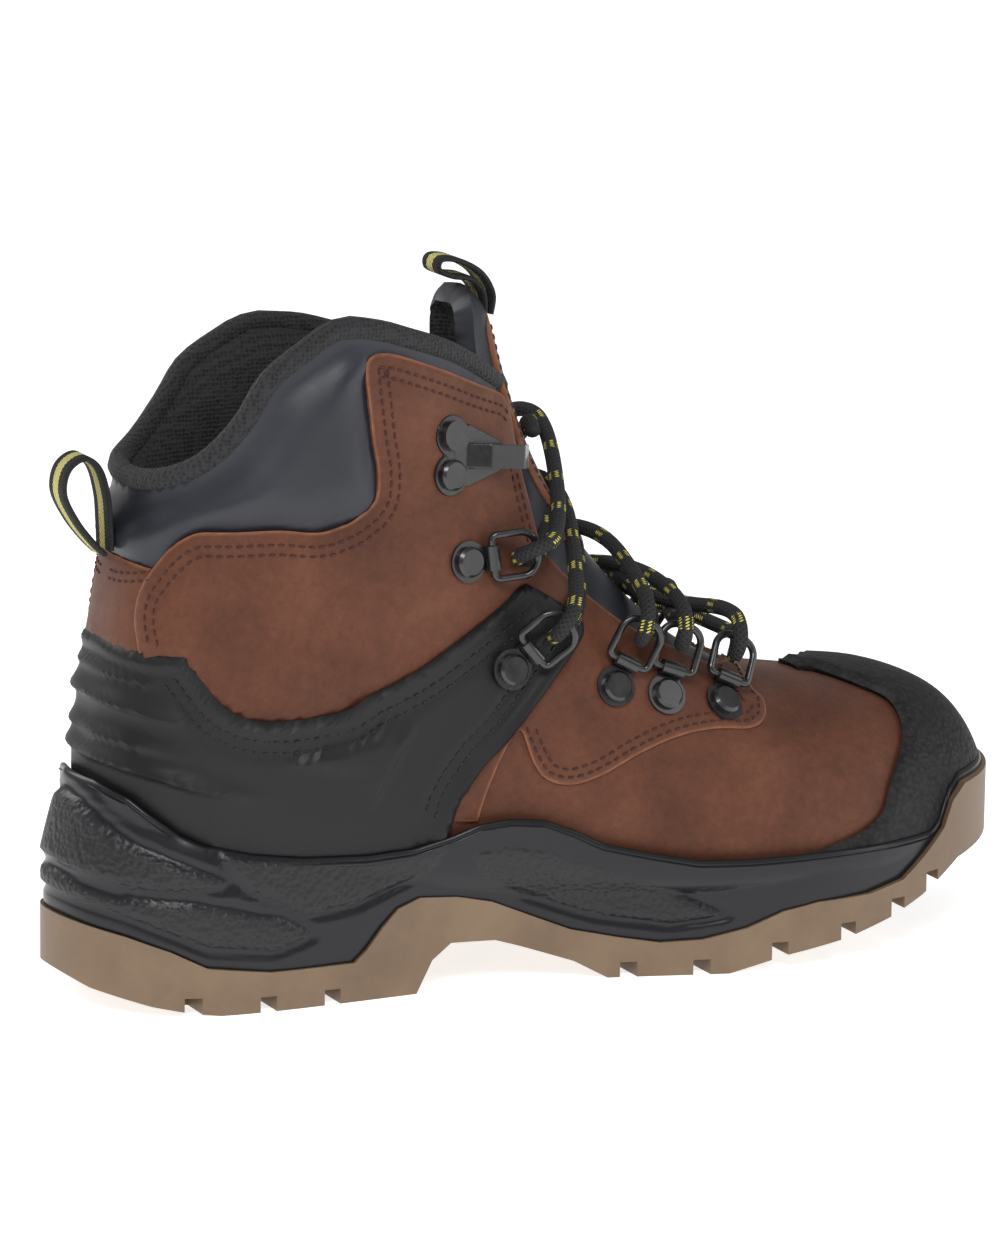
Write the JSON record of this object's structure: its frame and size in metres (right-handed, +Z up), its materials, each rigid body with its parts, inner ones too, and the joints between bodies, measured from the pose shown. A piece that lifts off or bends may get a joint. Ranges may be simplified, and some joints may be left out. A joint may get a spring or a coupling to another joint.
{
  "type": "steel toe work boot",
  "caption": "Right lace-up safety work boot: leather upper with padded collar, moulded heel cage, steel toe cap, ring lacing, cushioned midsole and lugged gum outsole.",
  "frame": {"origin": "on the ground under the middle of the sole", "axes": "+X towards the toe, +Y towards the inner side of the foot, +Z up"},
  "size_m": [0.3025, 0.1128, 0.2096],
  "materials": {
    "brown_leather": "waxed nubuck, pulled up and slightly rubbed",
    "black_synthetic": "smooth coated collar fabric",
    "black_mesh": "spacer mesh",
    "black_moulding": "moulded heel cage with raised rim",
    "black_midsole": "foamed sole with smooth and grained panels",
    "gum_rubber": "natural gum rubber",
    "black_hardware": "black enamel",
    "cap_steel": "pressed steel",
    "board": "pressed fibre board",
    "plate_weave": "woven puncture-resistant sheet",
    "foam": "open-cell foam",
    "webbing": "black webbing with a pale yellow stripe",
    "lace": "round braid with pale yellow flecks"
  },
  "bodies": {
    "boot": {"ankle_foam": "foam", "backstay": "brown_leather", "clip_rivets": "black_hardware", "collar_cover": "black_synthetic", "collar_foam": "foam", "collar_rim": "black_mesh", "heel_cage": "black_moulding", "heel_counter": "board", "hook_lateral": "black_hardware", "hook_medial": "black_hardware", "hook_rivets": "black_hardware", "insole_board": "board", "lace": "lace", "lining": "black_mesh", "midsole": "black_midsole", "outsole": "gum_rubber", "puncture_plate": "plate_weave", "quarter_lateral": "brown_leather", "quarter_medial": "brown_leather", "ring_clips_lateral": "black_hardware", "ring_clips_medial": "black_hardware", "shank": "cap_steel", "steel_toe_cap": "cap_steel", "toe_bumper": "black_midsole", "toe_cap_trim": "black_moulding", "tongue": "black_synthetic", "tongue_patch": "brown_leather", "vamp": "brown_leather"},
    "d_ring_lateral_1": {"d_ring_lateral_1": "black_hardware"},
    "d_ring_lateral_2": {"d_ring_lateral_2": "black_hardware"},
    "d_ring_lateral_3": {"d_ring_lateral_3": "black_hardware"},
    "d_ring_lateral_4": {"d_ring_lateral_4": "black_hardware"},
    "d_ring_lateral_5": {"d_ring_lateral_5": "black_hardware"},
    "d_ring_medial_1": {"d_ring_medial_1": "black_hardware"},
    "d_ring_medial_2": {"d_ring_medial_2": "black_hardware"},
    "d_ring_medial_3": {"d_ring_medial_3": "black_hardware"},
    "d_ring_medial_4": {"d_ring_medial_4": "black_hardware"},
    "d_ring_medial_5": {"d_ring_medial_5": "black_hardware"},
    "heel_loop": {"heel_loop": "webbing"},
    "tongue_loop": {"tongue_loop": "webbing"},
    "footbed": {"footbed": "foam"}
  },
  "joints": [
    {"name": "d_ring_lateral_1_swing", "type": "hinge", "parent": "boot", "child": "d_ring_lateral_1", "pos_m": [0.04937, -0.03463, 0.08457], "axis": [-0.907, 0.0898, 0.4115], "range_deg": [-6, 6]},
    {"name": "d_ring_lateral_2_swing", "type": "hinge", "parent": "boot", "child": "d_ring_lateral_2", "pos_m": [0.02973, -0.03751, 0.08947], "axis": [-0.9372, 0.0991, 0.3343], "range_deg": [-6, 6]},
    {"name": "d_ring_lateral_3_swing", "type": "hinge", "parent": "boot", "child": "d_ring_lateral_3", "pos_m": [0.01465, -0.03821, 0.09286], "axis": [-0.8732, 0.1385, 0.4673], "range_deg": [-6, 6]},
    {"name": "d_ring_lateral_4_swing", "type": "hinge", "parent": "boot", "child": "d_ring_lateral_4", "pos_m": [-0.01722, -0.04137, 0.09924], "axis": [-0.6349, 0.0907, 0.7673], "range_deg": [-6, 6]},
    {"name": "d_ring_lateral_5_swing", "type": "hinge", "parent": "boot", "child": "d_ring_lateral_5", "pos_m": [-0.02734, -0.03572, 0.12642], "axis": [-0.0822, 0.0868, 0.9928], "range_deg": [-6, 6]},
    {"name": "d_ring_medial_1_swing", "type": "hinge", "parent": "boot", "child": "d_ring_medial_1", "pos_m": [0.04922, 0.03078, 0.08468], "axis": [0.9179, 0.1071, -0.3822], "range_deg": [-6, 6]},
    {"name": "d_ring_medial_2_swing", "type": "hinge", "parent": "boot", "child": "d_ring_medial_2", "pos_m": [0.02983, 0.03332, 0.08942], "axis": [0.9334, 0.0808, -0.3496], "range_deg": [-6, 6]},
    {"name": "d_ring_medial_3_swing", "type": "hinge", "parent": "boot", "child": "d_ring_medial_3", "pos_m": [0.01497, 0.03499, 0.09268], "axis": [0.8596, 0.0587, -0.5075], "range_deg": [-6, 6]},
    {"name": "d_ring_medial_4_swing", "type": "hinge", "parent": "boot", "child": "d_ring_medial_4", "pos_m": [-0.01699, 0.04116, 0.09908], "axis": [0.6307, 0.0457, -0.7747], "range_deg": [-6, 6]},
    {"name": "d_ring_medial_5_swing", "type": "hinge", "parent": "boot", "child": "d_ring_medial_5", "pos_m": [-0.02734, 0.03572, 0.12641], "axis": [0.0816, 0.087, -0.9929], "range_deg": [-6, 6]},
    {"name": "heel_loop_flex", "type": "hinge", "parent": "boot", "child": "heel_loop", "pos_m": [-0.1338, 0, 0.129], "axis": [0, 1, 0], "range_deg": [-55, 0], "stiffness_Nm_per_rad": 0.004},
    {"name": "tongue_loop_flex", "type": "hinge", "parent": "boot", "child": "tongue_loop", "pos_m": [-0.0158, 0, 0.1915], "axis": [0, 1, 0], "range_deg": [0, 60], "stiffness_Nm_per_rad": 0.004},
    {"name": "footbed_lift", "type": "hinge", "parent": "boot", "child": "footbed", "pos_m": [0.134, 0, 0.0245], "axis": [0, 1, 0], "range_deg": [0, 3]}
  ]
}
